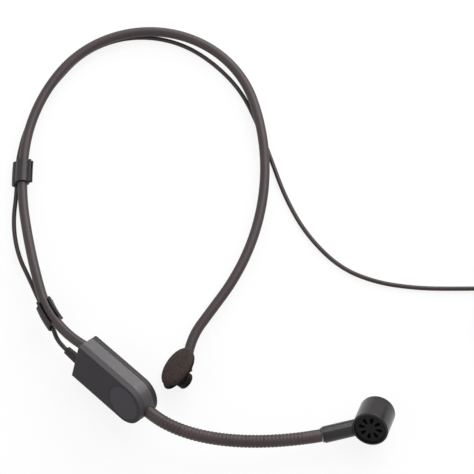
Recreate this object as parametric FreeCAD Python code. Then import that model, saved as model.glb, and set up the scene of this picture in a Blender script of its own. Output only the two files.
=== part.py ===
"""Headset microphone with a wire band, a flexible boom and a thin cable, lying on a table.

Millimetres. +Z is up from the table. The headset lies flat: the band's loop opens towards -Y,
the junction housing is at its left end, the temple pad at its right end, and the boom runs
along +X to the microphone head. The origin is on the table, under the middle of the headset
without its loose cable.
"""
import FreeCAD, Part
import math
import os

V = FreeCAD.Vector

# ---- driving dimensions ---------------------------------------------------------------------
RUN = 0.07              # radial clearance of pieces that turn on each other
SEAM = 0.1              # gap between two pieces that are screwed or pressed together

# band: a spring wire in a soft sleeve
WIRE_R = 0.8
SLEEVE_R = 2.45
FLEX_GAP = 0.8          # gap between the two sleeve halves at the rear, where the band flexes
BAND_START = V(-23.9, -70.6, 5.2)
BAND_HEADING = 94.0     # degrees from +X, anticlockwise
WIRE_IN_HUB = 4.2
SLEEVE_IN_HOUSING = 4.6
CRIMP_R = 1.5
CRIMP_L = 6.5
WIRE_IN_HOUSING = 13.0
# bend table: roll of the bend plane, radius (0 = straight), then angle, or length if straight
RIGHT_BENDS = [(0, -37, 39.3), (0, 0, 16.4), (0, 118, 21.5), (0, 121, 32.0), (0, 56.4, 71.7)]
LEFT_BENDS = [(0, 56.4, 53.6), (0, 86.4, 31.5), (20.6, 127, 16.9), (-10.1, 350, 6.8), (0, 56, 37.6)]

# junction housing: a flat slab, square at the band end and round at the boom end
HOUSING_L = 43.6
HOUSING_H = 20.6
HOUSING_T = 12.5
HOUSING_WALL = 1.3
COVER_T = 3.1           # thickness of each cover, out of HOUSING_T
HOUSING_ORIGIN = V(-73.06, -64.51, 12.1)        # middle of the square end
HOUSING_ALONG = V(0.730, -0.666, 0.152)         # from the square end to the round end
HOUSING_THROUGH = V(0.644, 0.596, -0.480)       # from the outer cover to the inner cover
EMBLEM_R = 8.8
EMBLEM_T = 0.5
SCREW_R = 0.8
SCREW_HEAD_R = 1.6
SCREW_HEAD_T = 0.9
BOSS_R = 1.8
SCREW_PLACES = [(6.0, -0.7), (34.0, -6.5), (34.0, 6.5)]
BOARD = (16.0, 10.0, 1.0)
LUG_R = 0.6
LUG_H = 1.4
LEAD_R = 0.5
GLAND_Y = 5.1
GLAND_Z = -0.6
GLAND_R = 2.5
GLAND_TIP_R = 2.0
GLAND_L = 10.0

# boom: a flexible neck of ball links
LINKS = 10
LINK_R = 3.05
BALL_R = 2.45
LINK_BORE_R = 0.8
SHOULDER = 1.3          # from a ball's centre to the link's shoulder
BOOM_BASE_OUT = 5.0
BOOM_BASE_IN = 5.6
BOOM_FLEX_L = 79.5
NECK_RING_R = 3.55
NECK_RING_L = 1.4
NECK_GAP = 0.35         # between the last link and the neck
NECK_R = 4.0
FERRULE_R = 4.4
FERRULE_L = 2.6
SPIGOT_R = 2.0
BOOM_HANDLES = (32.3, 32.3)
NECK_HEADING = V(0.956, 0.275, 0.100)

# microphone head
HEAD_R = 8.6
HEAD_L = 16.3
HEAD_WALL = 0.9
HEAD_FRONT = V(61.9, -101.9, 17.9)
HEAD_AXIS = V(-0.300, -0.688, 0.661)            # out of the grille
NECK_TARGET = V(62.9, -97.6, 10.9)              # where the neck's line ends inside the head
REAR_CAP_T = 1.8
REAR_ROUND = 0.6
FRONT_ROUND = 0.4         # rounds the shell's rim round the grille
GRILLE_RECESS = 0.9
GRILLE_T = 0.9
GRILLE_SLOTS = 8
SLOT_TURN = 22.5          # degrees from the neck's side to the first slot
SLOT_FROM = (3.1, 0.5)    # distance from the grille's centre and half width, at the inner end
SLOT_TO = (4.7, 0.9)      # the same at the outer end
CLOTH_T = 0.3
CARTRIDGE_R = 6.2
CARTRIDGE_L = 9.6
CARTRIDGE_WALL = 0.6
YOKE_R = 5.2
YOKE_WALL = 1.1
YOKE_L = 6.6
MAGNET_R = 2.8
MAGNET_L = 3.9
POLE_R = 3.0
POLE_T = 1.2
COIL_R = 3.45
COIL_WALL = 0.25
COIL_L = 1.9
DIAPHRAGM_T = 0.15

# temple pad on a small ball joint
PAD_R = 10.4
PAD_T = 1.9
PLATE_R = 9.8
PLATE_T = 1.05
SKIRT_R = 8.4             # cone on the back of the plate, at the plate
SKIRT_TIP_R = 5.2
SKIRT_L = 2.0
SKIRT_CLEAR = 1.5         # room round the sleeve for the pad to rock
PAD_ON_WIRE = V(-27.606, -70.459, 10.353)       # the foam's face, less the sleeve's radius
PAD_NORMAL = V(-0.690, 0.350, 0.630)
HUB_CENTRE = V(-25.2, -74.9, 5.2)
HUB_R = 4.2
HUB_T = 3.4
PAD_BALL_R = 1.4
PAD_NECK_R = 0.7
CUP_WALL = 0.45
BOSS_WALL = 1.4
BALL_BEHIND_FACE = 4.2

# cable clips on the band
CLIP_L = 12.0
CLIP_WALL = 1.1
UPPER_PLAY = 0.45       # radial play of the cable in each clip
LOWER_PLAY = 1.2
UPPER_CLIP = (2, 5.7)          # which left bend it sits on, and degrees into that bend
LOWER_CLIP = (4, 12.5)
UPPER_CABLE = (-4.1, -1.5)      # cable's place in the clip: towards the loop, and up
LOWER_CABLE = (-2.5, -4.7)
CLIP_LIP = 1.2

# cable, its stored coil and its connector
CABLE_R = 1.1
COIL_CENTRE = (136.0, -42.4)
COIL_COLUMNS = 3
COIL_LAYERS = 4
COIL_MID_R = 12.5
COIL_LIFT = 0.7
TIE_W = 6.0
TIE_T = 0.6
TIE_AT = 215.0          # degrees round the coil
PLUG_START = V(150.7, -64.0, 5.1)
TAIL_OUT = 8.2            # from the coil's middle to where the tail leaves it
TAIL_RUN = 4.5
TAIL_DROP = 0.4
BOOT_L = 12.0
BOOT_R = 3.2
BOOT_TIP_R = 1.8
CAP_L = 6.0
PLUG_R = 4.8
PLUG_BODY_L = 9.5
NOSE_R = 4.0
NOSE_L = 8.5
PLUG_WALL = 0.7
CONTACTS = 4
CONTACT_R = 0.6
CONTACT_CIRCLE_R = 1.75
LATCH = (2.4, 5.0, 1.5)         # width, length, height
LATCH_TRAVEL = 0.6
CABLE_ROUTE = [
    (-86.6, -56.2, 5.5), (-88.9, -50.0, 9.5), (-96.1, -36.5, 7.7), (-101.4, -25.0, 5.6),
    (-108.6, -10.8, 3.6), (-112.4, 5.5, 2.6), (-111.4, 22.5, 2.9), (-111.3, 43.5, 2.2),
    (-108.9, 56.5, 1.2), (-103.6, 69.6, 1.1), (-94.6, 84.4, 1.1), (-81.2, 101.0, 1.1),
    (-63.5, 110.0, 1.1), (-44.5, 111.4, 1.1), (-26.5, 106.2, 1.1), (-10.5, 94.6, 1.1),
    (2.6, 79.4, 1.1), (11.0, 60.2, 1.1), (17.3, 41.6, 1.1), (24.5, 20.2, 1.1),
    (34.6, 0.9, 1.1), (50.2, -16.2, 1.1), (68.0, -24.2, 1.1), (88.0, -27.3, 1.1),
    (107.0, -27.7, 1.3),
]


# ---- helpers --------------------------------------------------------------------------------
def unit(v):
    return V(v).normalize()


def frame(origin, z_axis, x_hint):
    """Placement whose local Z is z_axis and whose local X is x_hint made square to it."""
    z = unit(z_axis)
    x = unit(x_hint - z * x_hint.dot(z))
    y = z.cross(x)
    m = FreeCAD.Matrix(x.x, y.x, z.x, origin.x, x.y, y.y, z.y, origin.y, x.z, y.z, z.z, origin.z)
    return FreeCAD.Placement(m)


def placed(shape, placement):
    result = shape.copy()
    result.Placement = placement.multiply(shape.Placement)
    return result


def cylinder(radius, z0, z1, at=(0.0, 0.0)):
    return Part.makeCylinder(radius, z1 - z0, V(at[0], at[1], z0))


def cone(r0, r1, z0, z1):
    return Part.makeCone(r0, r1, z1 - z0, V(0, 0, z0))


def ring(outer, inner, z0, z1):
    return cylinder(outer, z0, z1).cut(cylinder(inner, z0 - 1, z1 + 1))


def box(x0, x1, y0, y1, z0, z1):
    return Part.makeBox(x1 - x0, y1 - y0, z1 - z0, V(x0, y0, z0))


def ball(radius, z=0.0):
    return Part.makeSphere(radius, V(0, 0, z))


def rod(radius, start, end):
    return Part.makeCylinder(radius, (end - start).Length, start, end - start)


def turned(v, axis, degrees):
    return FreeCAD.Rotation(axis, degrees).multVec(v)


def tube(edges, start, direction, radius):
    """A round bar swept along a chain of tangent edges."""
    profile = Part.Wire(Part.Circle(start, direction, radius).toShape())
    return Part.Wire(edges).makePipeShell([profile], True, False)


def bend_chain(point, tangent, normal, table):
    """Follow a bend table. Returns the edges and one record per row."""
    edges, rows = [], []
    for roll, radius, amount in table:
        normal = turned(normal, tangent, roll)
        side = normal.cross(tangent)
        row = {"start": point, "tangent": tangent, "normal": normal, "side": side, "radius": radius}
        if radius == 0:
            end = point + tangent * amount
            edges.append(Part.LineSegment(point, end).toShape())
        else:
            centre = point + side * radius
            angle = math.copysign(amount, radius)
            spoke = point - centre
            middle = centre + turned(spoke, normal, angle / 2)
            end = centre + turned(spoke, normal, angle)
            edges.append(Part.Arc(point, middle, end).toShape())
            tangent = turned(tangent, normal, angle)
            row["centre"] = centre
        point = end
        rows.append(row)
    return edges, rows, point, tangent, normal


def filleted_route(points):
    """Straight runs joined by the largest tangent arcs that the runs allow."""
    edges, radii, length = [], [], 0.0
    last = points[0]
    for before, corner, after in zip(points, points[1:], points[2:]):
        into, out = unit(corner - before), unit(after - corner)
        turn = into.getAngle(out)
        reach = 0.45 * min((corner - before).Length, (after - corner).Length)
        radius = reach / math.tan(turn / 2)
        radii.append(radius)
        a = corner - into * reach
        b = corner + out * reach
        inward = unit(out - into)
        centre = corner + inward * (radius / math.cos(turn / 2))
        middle = centre - inward * radius
        edges.append(Part.LineSegment(last, a).toShape())
        edges.append(Part.Arc(a, middle, b).toShape())
        length += (a - last).Length + radius * turn
        last = b
    edges.append(Part.LineSegment(last, points[-1]).toShape())
    length += (points[-1] - last).Length
    return edges, radii, length


# ---- band -----------------------------------------------------------------------------------
UP = V(0, 0, 1)
HEADING = V(math.cos(math.radians(BAND_HEADING)), math.sin(math.radians(BAND_HEADING)), 0)
RIGHT_EDGES, RIGHT_ROWS, REAR, REAR_TANGENT, REAR_UP = bend_chain(
    BAND_START, HEADING, UP, RIGHT_BENDS)
LEFT_EDGES, LEFT_ROWS, BAND_END, BAND_END_TANGENT, _ = bend_chain(
    REAR, REAR_TANGENT, REAR_UP, LEFT_BENDS)


def flex_gap():
    """The slab that parts the two halves of the band at the rear."""
    slab = Part.makeCylinder(SLEEVE_R * 2, FLEX_GAP, REAR - REAR_TANGENT * (FLEX_GAP / 2), REAR_TANGENT)
    return slab


def band_half(edges, start, tangent):
    outer = tube(edges, start, tangent, SLEEVE_R)
    wire = tube(edges, start, tangent, WIRE_R)
    bore = tube(edges, start, tangent, WIRE_R + RUN)
    return outer.cut(bore).cut(flex_gap()), wire.cut(flex_gap())


def band_nodes():
    lead_in = BAND_START - HEADING * WIRE_IN_HUB
    sleeve, _ = band_half(RIGHT_EDGES, BAND_START, HEADING)
    first = [Part.LineSegment(lead_in, BAND_START).toShape()]
    _, wire = band_half(first + RIGHT_EDGES, lead_in, HEADING)
    nodes = {"band_sleeve_right": sleeve, "band_wire_right": wire}
    sleeve_end = BAND_END + BAND_END_TANGENT * SLEEVE_IN_HOUSING
    wire_end = BAND_END + BAND_END_TANGENT * WIRE_IN_HOUSING
    run = [Part.LineSegment(BAND_END, sleeve_end).toShape()]
    nodes["band_sleeve_left"], _ = band_half(LEFT_EDGES + run, REAR, REAR_TANGENT)
    run = [Part.LineSegment(BAND_END, wire_end).toShape()]
    _, nodes["band_wire_left"] = band_half(LEFT_EDGES + run, REAR, REAR_TANGENT)
    return nodes


# ---- cable clips ----------------------------------------------------------------------------
def clip_place(place):
    """Frame at a clip's middle: local X into the loop, local Y up, local Z along the band."""
    index, degrees = place
    row = LEFT_ROWS[index]
    spoke = turned(row["start"] - row["centre"], row["normal"], degrees)
    tangent = turned(row["tangent"], row["normal"], degrees)
    side = row["normal"].cross(tangent)
    return frame(row["centre"] + spoke, tangent, side), row


def clip_body(section, place):
    """Sweep a clip's section along the bend it slides on."""
    at, row = clip_place(place)
    half = math.degrees(CLIP_L / 2 / row["radius"])
    face = placed(section, at)
    face.rotate(row["centre"], row["normal"], -half)
    return face.revolve(row["centre"], row["normal"], 2 * half)


def flat(x0, x1, y0, y1):
    return Part.makePlane(x1 - x0, y1 - y0, V(x0, y0, 0))


def disc(radius, x=0.0, y=0.0):
    return Part.Face(Part.Wire(Part.Circle(V(x, y, 0), V(0, 0, 1), radius).toShape()))


def clip_upper():
    hole = SLEEVE_R + RUN
    outer = hole + CLIP_WALL
    pocket = CABLE_R + UPPER_PLAY
    cx, cy = UPPER_CABLE
    reach = math.hypot(cx, cy)
    web = flat(0, reach, -pocket, pocket)
    web.rotate(V(0, 0, 0), V(0, 0, 1), math.degrees(math.atan2(cy, cx)))
    lips = flat(SLEEVE_R, outer + CLIP_LIP, -2 * CLIP_LIP / 1.5, 2 * CLIP_LIP / 1.5)
    section = disc(outer).fuse([disc(pocket + CLIP_WALL * 0.8, cx, cy), web, lips]).removeSplitter()
    slot = flat(0, outer + 2 * CLIP_LIP, -CLIP_LIP / 2, CLIP_LIP / 2)
    section = section.cut(disc(hole)).cut(disc(pocket, cx, cy)).cut(slot)
    return clip_body(section.Faces[0], UPPER_CLIP)


def clip_lower():
    hole = SLEEVE_R + RUN
    outer = hole + CLIP_WALL
    pocket = CABLE_R + LOWER_PLAY
    cx, cy = LOWER_CABLE
    section = flat(-outer, outer, -outer, CLIP_WALL + CLIP_LIP)
    section = section.fuse([disc(pocket + CLIP_WALL * 0.8, cx, cy)]).removeSplitter()
    trough = disc(hole).fuse([flat(-hole, hole, 0, 2 * outer)])
    section = section.cut(trough).cut(disc(pocket, cx, cy))
    return clip_body(section.Faces[0], LOWER_CLIP)


# ---- junction housing -----------------------------------------------------------------------
HOUSING = frame(HOUSING_ORIGIN, HOUSING_THROUGH, HOUSING_ALONG)
ROUND_X = HOUSING_L - HOUSING_H / 2
CAVITY_H = HOUSING_H - 2 * HOUSING_WALL


def slab(x0, height, z0, z1):
    """A slab with one square end at x0 and one round end about ROUND_X."""
    body = box(x0, ROUND_X, -height / 2, height / 2, z0, z1)
    return body.fuse(cylinder(height / 2, z0, z1, (ROUND_X, 0))).removeSplitter()


def cavity(z0, z1):
    return slab(HOUSING_WALL, CAVITY_H, z0, z1)


def rim_fillet(shape, z, radius):
    edges = [e for e in shape.Edges if all(abs(v.Z - z) < 1e-6 for v in e.Vertexes)]
    return shape.makeFillet(radius, edges)


def in_housing(point):
    return HOUSING.inverse().multVec(point)


def housing_nodes():
    half = HOUSING_T / 2
    face_z = -half + COVER_T
    back_z = half - COVER_T
    emblem_at = (ROUND_X - 0.6, 0.0)
    outer = rim_fillet(slab(0, HOUSING_H, -half, face_z), -half, 0.5)
    outer = outer.cut(cavity(-half + HOUSING_WALL + 0.4, face_z + 1))
    outer = outer.cut(cylinder(EMBLEM_R + SEAM, -half - 1, -half + EMBLEM_T, emblem_at))
    body = slab(0, HOUSING_H, face_z + SEAM, back_z - SEAM).cut(cavity(face_z - 1, back_z + 1))
    inner = rim_fillet(slab(0, HOUSING_H, back_z, half), half, 1.2)
    inner = inner.cut(cavity(back_z - 1, half - HOUSING_WALL))
    screws = []
    for at in SCREW_PLACES:
        outer = outer.fuse(cylinder(BOSS_R, -half + HOUSING_WALL, back_z - 2 * SEAM, at))
        outer = outer.cut(cylinder(SCREW_R + RUN, -half + 2 * HOUSING_WALL, back_z + 1, at))
        inner = inner.fuse(cylinder(BOSS_R + 0.5, back_z + SEAM, half - HOUSING_WALL / 2, at))
        inner = inner.cut(cylinder(SCREW_R + SEAM, back_z - 1, half + 1, at))
        inner = inner.cut(cylinder(SCREW_HEAD_R + SEAM, half - SCREW_HEAD_T, half + 1, at))
        head = cylinder(SCREW_HEAD_R, half - SCREW_HEAD_T + SEAM, half, at)
        head = head.cut(box(at[0] - 1.2, at[0] + 1.2, at[1] - 0.2, at[1] + 0.2, half - 0.4, half + 1))
        screws.append(head.fuse(cylinder(SCREW_R, -half + 3 * HOUSING_WALL, half - SCREW_HEAD_T + SEAM, at)))
    # holes for the band, the strain relief and the boom
    band = in_housing(BAND_END)
    band_dir = in_housing(BAND_END + BAND_END_TANGENT) - band
    band_hole = Part.makeCylinder(SLEEVE_R + RUN, 8, band - band_dir * 2, band_dir)
    gland_hole = Part.makeCylinder(GLAND_TIP_R, 8, V(-4, GLAND_Y, GLAND_Z), V(1, 0, 0))
    boom_hole = Part.makeCylinder(LINK_R + RUN, 12, V(ROUND_X + 2, 0, 0), V(1, 0, 0))
    body = body.cut(band_hole).cut(gland_hole).cut(boom_hole)
    outer = outer.cut(band_hole).cut(gland_hole).cut(boom_hole)
    inner = inner.cut(band_hole).cut(gland_hole).cut(boom_hole)
    # terminal board on two ribs of the inner cover
    board_x, board_y, board_z = 13.5, -3.2, back_z - 1.9
    length, width, thick = BOARD
    for x in (board_x + 1, board_x + length - 2):
        inner = inner.fuse(box(x, x + 1, board_y, board_y + width, board_z + thick + SEAM,
                               half - HOUSING_WALL / 2))
    board = box(board_x, board_x + length, board_y, board_y + width, board_z, board_z + thick)
    lugs, leads = [], []
    for side, x in ((-1, board_x + 2), (1, board_x + length - 2)):
        for y in (board_y + 4.2, board_y + 6.6):
            top = board_z - SEAM / 2
            lugs.append(cylinder(LUG_R, top - LUG_H, top, (x, y)))
            start = V(x + side * (LUG_R + SEAM), y, top - LUG_H / 2)
            leads.append(rod(LEAD_R, start, start + V(side * 5.0, 0, 0)))
    crimp_from = band + band_dir * (SLEEVE_IN_HOUSING + 0.3)
    crimp = Part.makeCylinder(CRIMP_R, CRIMP_L, crimp_from, band_dir)
    crimp = crimp.cut(Part.makeCylinder(WIRE_R + RUN, 20, band, band_dir))
    gland = cone(GLAND_TIP_R, GLAND_R, 0, GLAND_L - SEAM)
    gland = gland.fuse(cylinder(GLAND_TIP_R - SEAM, GLAND_L - SEAM, GLAND_L + HOUSING_WALL + 0.2))
    gland = gland.fuse(cylinder(GLAND_R, GLAND_L + HOUSING_WALL + SEAM, GLAND_L + HOUSING_WALL + 1.3))
    gland = placed(gland, frame(V(-GLAND_L, GLAND_Y, GLAND_Z), V(1, 0, 0), V(0, 1, 0)))
    ferrule = ring(FERRULE_R, LINK_R + RUN, 0, FERRULE_L)
    ferrule = placed(ferrule, frame(V(HOUSING_L - BOOM_BASE_IN, 0, 0), V(1, 0, 0), V(0, 1, 0)))
    emblem = cylinder(EMBLEM_R, -half + SEAM / 2, -half + EMBLEM_T - SEAM / 2, emblem_at)
    nodes = {
        "housing_outer_cover": outer, "housing_body": body, "housing_inner_cover": inner,
        "emblem_disc": emblem, "cover_screws": Part.makeCompound(screws), "terminal_board": board,
        "solder_lugs": Part.makeCompound(lugs), "lead_wires": Part.makeCompound(leads),
        "band_crimp": crimp, "cable_gland": gland, "boom_ferrule": ferrule,
    }
    return {name: placed(shape, HOUSING) for name, shape in nodes.items()}


# ---- boom -----------------------------------------------------------------------------------
BOOM_ROOT = HOUSING.multVec(V(HOUSING_L, 0, 0))
BOOM_OUT = unit(HOUSING_ALONG)
HEAD_DIR = unit(HEAD_AXIS)


def boom_point(t):
    """The boom's rest curve: one cubic from the housing to the head's axis."""
    a, d = BOOM_ROOT, NECK_TARGET
    b = a + BOOM_OUT * BOOM_HANDLES[0]
    c = d - unit(NECK_HEADING) * BOOM_HANDLES[1]
    s = 1 - t
    return a * s ** 3 + b * (3 * s * s * t) + c * (3 * s * t * t) + d * t ** 3


def boom_joints():
    """Ball centres, evenly spaced along the rest curve, and the end of the last link."""
    steps = 2000
    wanted = [BOOM_BASE_OUT + BOOM_FLEX_L * k / LINKS for k in range(LINKS + 1)]
    found, travelled, last = [], 0.0, boom_point(0)
    for i in range(1, steps + 1):
        here = boom_point(i / steps)
        travelled += (here - last).Length
        last = here
        if len(found) < len(wanted) and travelled >= wanted[len(found)]:
            found.append(here)
    found[0] = BOOM_ROOT + BOOM_OUT * BOOM_BASE_OUT
    return found


JOINTS = boom_joints()


def link(start, end, socket):
    """One link: a ball at its start, and a socket for the next ball at its end."""
    length = (end - start).Length
    body = ball(BALL_R).fuse(cylinder(LINK_R, SHOULDER, length)).removeSplitter()
    if socket:
        body = body.cut(ball(BALL_R + RUN, length))
    body = body.cut(cylinder(LINK_BORE_R, -LINK_R, length + 1))
    return placed(body, frame(start, end - start, UP))


def boom_nodes():
    nodes = {}
    base_start = BOOM_ROOT - BOOM_OUT * BOOM_BASE_IN
    length = (JOINTS[0] - base_start).Length
    base = cylinder(LINK_R, 0, length).cut(ball(BALL_R + RUN, length))
    base = base.cut(cylinder(LINK_BORE_R, -1, length + 1))
    nodes["boom_base"] = placed(base, frame(base_start, JOINTS[0] - base_start, UP))
    for k in range(LINKS):
        nodes["boom_link_%02d" % (k + 1)] = link(JOINTS[k], JOINTS[k + 1], k < LINKS - 1)
    # neck: a small ring, then the moulded neck that meets the head
    start = JOINTS[LINKS]
    reach = (NECK_TARGET - start).Length
    neck = cylinder(NECK_RING_R, NECK_GAP, NECK_RING_L).fuse(cylinder(NECK_R, NECK_RING_L, reach))
    spigot = cylinder(SPIGOT_R, NECK_RING_L, reach - HEAD_R + HEAD_WALL)
    at = frame(start, NECK_TARGET - start, UP)
    head = rod(HEAD_R + SEAM, HEAD_FRONT + HEAD_DIR * 9, HEAD_FRONT - HEAD_DIR * (HEAD_L + 9))
    neck = placed(neck, at).cut(head).fuse(placed(spigot, at))
    nodes["mic_neck"] = neck
    return nodes


# ---- microphone head ------------------------------------------------------------------------
HEAD = frame(HEAD_FRONT, HEAD_DIR, NECK_HEADING)


def slot(angle, z0, z1):
    """A drop-shaped slot, wider at its outer end, turned to one angle about the grille's centre."""
    (near, near_w), (far, far_w) = SLOT_FROM, SLOT_TO
    corners = [V(near, -near_w, z0), V(far, -far_w, z0), V(far, far_w, z0), V(near, near_w, z0)]
    sides = Part.Face(Part.makePolygon(corners + corners[:1])).extrude(V(0, 0, z1 - z0))
    drop = sides.fuse(cylinder(near_w, z0, z1, (near, 0))).fuse(cylinder(far_w, z0, z1, (far, 0)))
    drop.rotate(V(0, 0, 0), V(0, 0, 1), angle + SLOT_TURN)
    return drop


def head_nodes():
    inner = HEAD_R - HEAD_WALL
    rear = -HEAD_L
    shell = cylinder(HEAD_R, rear + REAR_CAP_T + SEAM, 0).cut(cylinder(inner, rear - 1, 1))
    rim = [e for e in shell.Edges if abs(e.BoundBox.ZMax) < 1e-6 and e.BoundBox.XMax > inner + SEAM]
    shell = placed(shell.makeFillet(FRONT_ROUND, rim), HEAD)
    shell = shell.cut(rod(SPIGOT_R + SEAM, JOINTS[LINKS], NECK_TARGET))
    cap = cylinder(HEAD_R, rear, rear + REAR_CAP_T)
    cap = rim_fillet(cap, rear, REAR_ROUND)
    cap = cap.fuse(ring(inner - SEAM, inner - 1.0, rear + REAR_CAP_T, rear + REAR_CAP_T + 2.0))
    grille_z = -GRILLE_RECESS - GRILLE_T
    grille = cylinder(inner - SEAM, grille_z, -GRILLE_RECESS)
    for k in range(GRILLE_SLOTS):
        grille = grille.cut(slot(k * 360 / GRILLE_SLOTS, grille_z - 1, 0))
    cloth_z = grille_z - SEAM / 2
    cloth = cylinder(inner - 2 * SEAM, cloth_z - CLOTH_T, cloth_z)
    case_top = cloth_z - CLOTH_T - 0.4
    case_low = case_top - CARTRIDGE_L
    case = cylinder(CARTRIDGE_R, case_low, case_top)
    case = case.cut(cylinder(CARTRIDGE_R - CARTRIDGE_WALL, case_low + CARTRIDGE_WALL, case_top + 1))
    shock = ring(inner - SEAM, CARTRIDGE_R + SEAM, case_top - 4.0, case_top - 1.0)
    yoke_low = case_low + CARTRIDGE_WALL + SEAM
    yoke = cylinder(YOKE_R, yoke_low, yoke_low + YOKE_L)
    yoke = yoke.cut(cylinder(YOKE_R - YOKE_WALL, yoke_low + YOKE_WALL, yoke_low + YOKE_L + 1))
    magnet_low = yoke_low + YOKE_WALL + SEAM / 2
    magnet = cylinder(MAGNET_R, magnet_low, magnet_low + MAGNET_L)
    pole_low = magnet_low + MAGNET_L + SEAM / 2
    pole = cylinder(POLE_R, pole_low, pole_low + POLE_T)
    coil_top = pole_low + POLE_T + 0.8
    coil = ring(COIL_R, COIL_R - COIL_WALL, coil_top - COIL_L, coil_top)
    film = cylinder(CARTRIDGE_R - CARTRIDGE_WALL - SEAM, coil_top + SEAM / 2,
                    coil_top + SEAM / 2 + DIAPHRAGM_T)
    shapes = {
        "mic_rear_cap": cap, "mic_grille": grille, "grille_cloth": cloth, "cartridge_case": case,
        "shock_ring": shock, "magnet_yoke": yoke, "magnet": magnet, "pole_piece": pole,
        "voice_coil": coil, "diaphragm": film,
    }
    nodes = {name: placed(shape, HEAD) for name, shape in shapes.items()}
    nodes["mic_shell"] = shell
    return nodes


# ---- temple pad -----------------------------------------------------------------------------
PAD_OUT = unit(PAD_NORMAL)
PAD_FACE = PAD_ON_WIRE + PAD_OUT * SLEEVE_R
HUB_DEPTH = (PAD_FACE - HUB_CENTRE).dot(PAD_OUT)
BALL_CENTRE = HUB_CENTRE + PAD_OUT * (HUB_DEPTH - BALL_BEHIND_FACE)
PAD_HINT = BAND_START - HUB_CENTRE
PAD = frame(BALL_CENTRE, PAD_OUT, PAD_HINT)


def pad_nodes():
    face = PAD.inverse().multVec(PAD_FACE)
    middle = (face.x, face.y)
    top = BALL_BEHIND_FACE
    foam = cylinder(PAD_R, top - PAD_T, top, middle)
    foam = foam.makeFillet(0.7, [e for e in foam.Edges if len(e.Vertexes) == 1])
    plate_top = top - PAD_T - SEAM / 2
    cup_out = PAD_BALL_R + RUN + CUP_WALL
    plate = cylinder(PLATE_R, plate_top - PLATE_T, plate_top, middle)
    plate = plate.fuse(cylinder(cup_out + RUN + BOSS_WALL, -0.3, plate_top - PLATE_T / 2))
    skirt_top = plate_top - PLATE_T
    skirt = cone(SKIRT_TIP_R, SKIRT_R, skirt_top - SKIRT_L, skirt_top)
    pocket = cylinder(cup_out + RUN + SEAM, skirt_top - SKIRT_L - 1, skirt_top)
    near = PAD.inverse().multVec(BAND_START - HEADING * SKIRT_CLEAR)
    along = PAD.inverse().multVec(BAND_START + HEADING * 30) - near
    skirt = skirt.cut(Part.makeCylinder(SLEEVE_R + SKIRT_CLEAR, 40, near, along))
    plate = plate.fuse(skirt.cut(pocket)).cut(ball(cup_out + RUN)).removeSplitter()
    cup = ball(cup_out).cut(ball(PAD_BALL_R + RUN))
    cup = cup.cut(box(-9, 9, -9, 9, -9, -0.4))
    hub_mid = BALL_BEHIND_FACE - HUB_DEPTH
    stud = ball(PAD_BALL_R).fuse(cylinder(PAD_NECK_R, hub_mid, 0)).removeSplitter()
    hub = cylinder(HUB_R, hub_mid - HUB_T / 2, hub_mid + HUB_T / 2)
    hub = rim_fillet(hub, hub_mid - HUB_T / 2, 0.8)
    hub = hub.cut(cylinder(PAD_NECK_R + RUN, hub_mid - SEAM, 9))
    hub = placed(hub, PAD)
    hub = hub.cut(rod(WIRE_R + RUN, BAND_START - HEADING * (WIRE_IN_HUB + SEAM), BAND_START))
    clear = SLEEVE_R + SEAM
    hub = hub.cut(Part.makeCylinder(clear, 20, BAND_START - HEADING * SEAM, HEADING))
    shapes = {"pad_foam": foam, "pad_plate": plate, "pad_socket": cup, "ball_stud": stud}
    nodes = {name: placed(shape, PAD) for name, shape in shapes.items()}
    nodes["pad_hub"] = hub
    return nodes


# ---- cable, coil and connector --------------------------------------------------------------
PLUG_DIR = V(0, -1, 0)
PLUG = frame(PLUG_START, PLUG_DIR, UP)
COIL_TOP = COIL_LIFT + 2 * CABLE_R * COIL_LAYERS
COIL_OUT_R = COIL_MID_R + CABLE_R * COIL_COLUMNS
COIL_IN_R = COIL_MID_R - CABLE_R * COIL_COLUMNS
OUTER_TURN_R = COIL_OUT_R - CABLE_R


def coil_solid():
    body = ring(COIL_OUT_R, COIL_IN_R, COIL_LIFT, COIL_TOP)
    return body.makeFillet(CABLE_R * 0.9, body.Edges)


def cable_nodes():
    coil_at = V(COIL_CENTRE[0], COIL_CENTRE[1], 0)
    coil = coil_solid()
    coil.translate(coil_at)
    gland_tip = HOUSING.multVec(V(-GLAND_L, GLAND_Y, GLAND_Z))
    arrive = coil_at + V(0, OUTER_TURN_R, COIL_LIFT + CABLE_R)
    route = [gland_tip] + [V(*p) for p in CABLE_ROUTE] + [arrive]
    edges, radii, length = filleted_route(route)
    lead = tube(edges, route[0], route[1] - route[0], CABLE_R)
    print("cable radii", [round(r, 1) for r in radii])
    print("cable run %.1f mm, volume ratio %.4f"
          % (length, lead.Volume / (math.pi * CABLE_R ** 2 * length)))
    leave = coil_at + V(OUTER_TURN_R, -TAIL_OUT, COIL_TOP - CABLE_R)
    tail_points = [leave, leave + V(0, -TAIL_RUN, -TAIL_DROP), PLUG_START - PLUG_DIR * TAIL_RUN, PLUG_START]
    tail_edges, tail_radii, _ = filleted_route(tail_points)
    tail = tube(tail_edges, tail_points[0], tail_points[1] - tail_points[0], CABLE_R)
    print("tail radii", [round(r, 1) for r in tail_radii])
    tie = box(COIL_IN_R - TIE_T - SEAM, COIL_OUT_R + TIE_T + SEAM, -TIE_W / 2, TIE_W / 2,
              0, COIL_TOP + TIE_T + SEAM)
    hole = ring(COIL_OUT_R + SEAM, COIL_IN_R - SEAM, COIL_LIFT - SEAM, COIL_TOP + SEAM)
    tie = tie.cut(hole)
    tie.rotate(V(0, 0, 0), V(0, 0, 1), TIE_AT)
    tie.translate(coil_at)
    return {"cable_lead": lead.cut(coil), "cable_coil": coil, "cable_tail": tail,
            "coil_tie": tie}


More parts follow.
